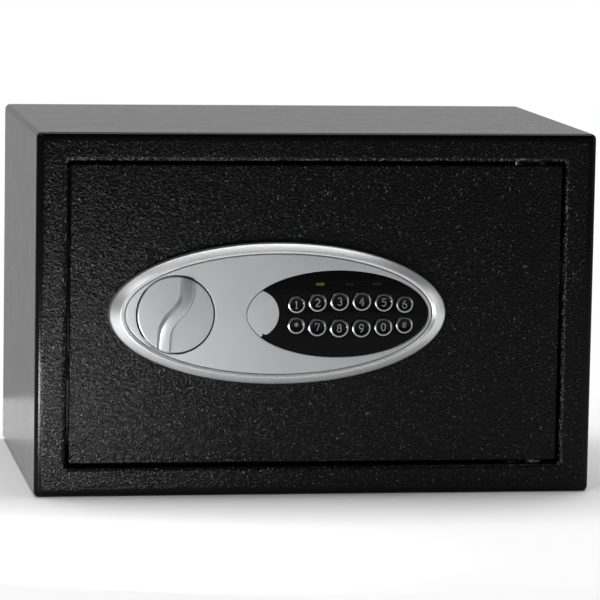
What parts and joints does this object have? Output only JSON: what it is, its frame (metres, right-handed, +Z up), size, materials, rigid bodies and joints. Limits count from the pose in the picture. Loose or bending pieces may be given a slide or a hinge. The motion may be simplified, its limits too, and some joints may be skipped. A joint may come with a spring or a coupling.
{
  "type": "electronic safe",
  "caption": "Small steel electronic safe with a recessed hinged door, thrown locking bolts, a round turn knob, an oval silver fascia with a keypad and a hidden override lock.",
  "frame": {"origin": "centre of the cabinet's underside, on the plane that it stands on", "axes": "+X to the right as seen from the front, +Y to the back, +Z up; the door faces -Y"},
  "size_m": [0.31, 0.2115, 0.2],
  "materials": {
    "cabinet_coat": "black textured powder coat",
    "door_coat": "black textured powder coat",
    "cover_coat": "fine black powder coat",
    "zinc_plate": "bright zinc plate on pressed steel",
    "bright_steel": "turned steel",
    "grey_felt": "dark grey needle felt",
    "black_nylon": "black nylon",
    "dark_steel": "blackened steel",
    "silver_bezel": "satin silver over moulded plastic",
    "silver_plate": "satin silver over moulded plastic",
    "silver_knob": "satin silver die casting",
    "panel_black": "polished black",
    "key_black": "black cap with a bright ring and grey numeral",
    "key_rubber": "silicone",
    "circuit_board": "green solder mask",
    "light_green": "clear tinted light pipe",
    "light_red": "clear tinted light pipe",
    "light_amber": "clear tinted light pipe, unlit",
    "lock_brass": "turned brass",
    "copper_coil": "varnished copper winding",
    "lead_red": "flexible insulation",
    "lead_black": "flexible insulation",
    "battery_sleeve": "plain printed sleeve",
    "case_black": "moulded black",
    "button_red": "moulded red"
  },
  "bodies": {
    "cabinet": {"body_shell": "cabinet_coat", "back_panel": "cabinet_coat", "front_frame": "cabinet_coat", "floor_mat": "grey_felt", "hinge_washer": "black_nylon"},
    "door": {"door_plate": "door_coat", "door_channel": "zinc_plate", "inner_cover": "cover_coat", "hinge_lug_upper": "door_coat", "hinge_lug_lower": "door_coat", "hinge_pin_upper": "dark_steel", "hinge_pin_lower": "dark_steel", "fascia_bezel": "silver_bezel", "fascia_plate": "silver_plate", "keypad_panel": "panel_black", "keypad_board": "circuit_board", "key_mat": "key_rubber", "light_green": "light_green", "light_red": "light_red", "light_amber": "light_amber", "override_lock_body": "lock_brass", "guide_post": "bright_steel", "solenoid_frame": "zinc_plate", "solenoid_coil": "copper_coil", "solenoid_lead": "lead_red", "battery_lead": "lead_black", "battery_box": "case_black", "cover_screw_1": "zinc_plate", "battery_1": "battery_sleeve", "cover_screw_2": "zinc_plate", "battery_2": "battery_sleeve", "cover_screw_3": "zinc_plate", "battery_3": "battery_sleeve", "cover_screw_4": "zinc_plate", "battery_4": "battery_sleeve"},
    "boltwork": {"bolt_carriage": "zinc_plate", "locking_bolt_upper": "bright_steel", "locking_bolt_lower": "bright_steel"},
    "knob": {"knob": "silver_knob", "knob_spindle": "bright_steel", "drive_cam": "zinc_plate"},
    "plunger": {"solenoid_plunger": "bright_steel", "plunger_spring": "bright_steel"},
    "override_plug": {"override_plug": "lock_brass", "override_lever": "zinc_plate"},
    "override_cap": {"override_cap": "silver_plate"},
    "battery_lid": {"battery_lid": "case_black"},
    "reset_button": {"reset_button": "button_red"},
    "key_1": {"key_1": "key_black"},
    "key_2": {"key_2": "key_black"},
    "key_3": {"key_3": "key_black"},
    "key_4": {"key_4": "key_black"},
    "key_5": {"key_5": "key_black"},
    "key_6": {"key_6": "key_black"},
    "key_7": {"key_7": "key_black"},
    "key_8": {"key_8": "key_black"},
    "key_9": {"key_9": "key_black"},
    "key_0": {"key_0": "key_black"},
    "key_star": {"key_star": "key_black"},
    "key_hash": {"key_hash": "key_black"}
  },
  "joints": [
    {"name": "door_hinge", "type": "hinge", "parent": "cabinet", "child": "door", "pos_m": [0.125, -0.0928, 0.1], "axis": [0, 0, 1], "range_deg": [0, 105]},
    {"name": "knob_turn", "type": "hinge", "parent": "door", "child": "knob", "pos_m": [-0.0791, -0.1, 0.1012], "axis": [0, -1, 0], "range_deg": [0, 90]},
    {"name": "bolt_throw", "type": "slide", "parent": "door", "child": "boltwork", "axis": [-1, 0, 0], "range_m": [0, 0.015]},
    {"name": "plunger_drop", "type": "slide", "parent": "door", "child": "plunger", "axis": [0, 0, 1], "range_m": [-0.004, 0], "stiffness_N_per_m": 40, "springref_m": -0.012, "deforming": ["plunger_spring"]},
    {"name": "override_turn", "type": "hinge", "parent": "door", "child": "override_plug", "pos_m": [-0.03, -0.09, 0.1013], "axis": [0, 1, 0], "range_deg": [0, 90]},
    {"name": "override_cap_pull", "type": "slide", "parent": "door", "child": "override_cap", "axis": [0, -1, 0], "range_m": [0, 0.015]},
    {"name": "battery_lid_pull", "type": "slide", "parent": "door", "child": "battery_lid", "axis": [0, 1, 0], "range_m": [0, 0.03]},
    {"name": "reset_press", "type": "slide", "parent": "door", "child": "reset_button", "axis": [0, -1, 0], "range_m": [0, 0.0015], "stiffness_N_per_m": 300, "springref_m": -0.0005},
    {"name": "key_1_press", "type": "slide", "parent": "door", "child": "key_1", "axis": [0, 1, 0], "range_m": [0, 0.0008], "stiffness_N_per_m": 300, "springref_m": -0.0005},
    {"name": "key_2_press", "type": "slide", "parent": "door", "child": "key_2", "axis": [0, 1, 0], "range_m": [0, 0.0008], "stiffness_N_per_m": 300, "springref_m": -0.0005},
    {"name": "key_3_press", "type": "slide", "parent": "door", "child": "key_3", "axis": [0, 1, 0], "range_m": [0, 0.0008], "stiffness_N_per_m": 300, "springref_m": -0.0005},
    {"name": "key_4_press", "type": "slide", "parent": "door", "child": "key_4", "axis": [0, 1, 0], "range_m": [0, 0.0008], "stiffness_N_per_m": 300, "springref_m": -0.0005},
    {"name": "key_5_press", "type": "slide", "parent": "door", "child": "key_5", "axis": [0, 1, 0], "range_m": [0, 0.0008], "stiffness_N_per_m": 300, "springref_m": -0.0005},
    {"name": "key_6_press", "type": "slide", "parent": "door", "child": "key_6", "axis": [0, 1, 0], "range_m": [0, 0.0008], "stiffness_N_per_m": 300, "springref_m": -0.0005},
    {"name": "key_7_press", "type": "slide", "parent": "door", "child": "key_7", "axis": [0, 1, 0], "range_m": [0, 0.0008], "stiffness_N_per_m": 300, "springref_m": -0.0005},
    {"name": "key_8_press", "type": "slide", "parent": "door", "child": "key_8", "axis": [0, 1, 0], "range_m": [0, 0.0008], "stiffness_N_per_m": 300, "springref_m": -0.0005},
    {"name": "key_9_press", "type": "slide", "parent": "door", "child": "key_9", "axis": [0, 1, 0], "range_m": [0, 0.0008], "stiffness_N_per_m": 300, "springref_m": -0.0005},
    {"name": "key_0_press", "type": "slide", "parent": "door", "child": "key_0", "axis": [0, 1, 0], "range_m": [0, 0.0008], "stiffness_N_per_m": 300, "springref_m": -0.0005},
    {"name": "key_star_press", "type": "slide", "parent": "door", "child": "key_star", "axis": [0, 1, 0], "range_m": [0, 0.0008], "stiffness_N_per_m": 300, "springref_m": -0.0005},
    {"name": "key_hash_press", "type": "slide", "parent": "door", "child": "key_hash", "axis": [0, 1, 0], "range_m": [0, 0.0008], "stiffness_N_per_m": 300, "springref_m": -0.0005}
  ],
  "couplings": [
    {"joint": "knob_turn", "follows": "bolt_throw", "rad_per_m": 104.72}
  ]
}
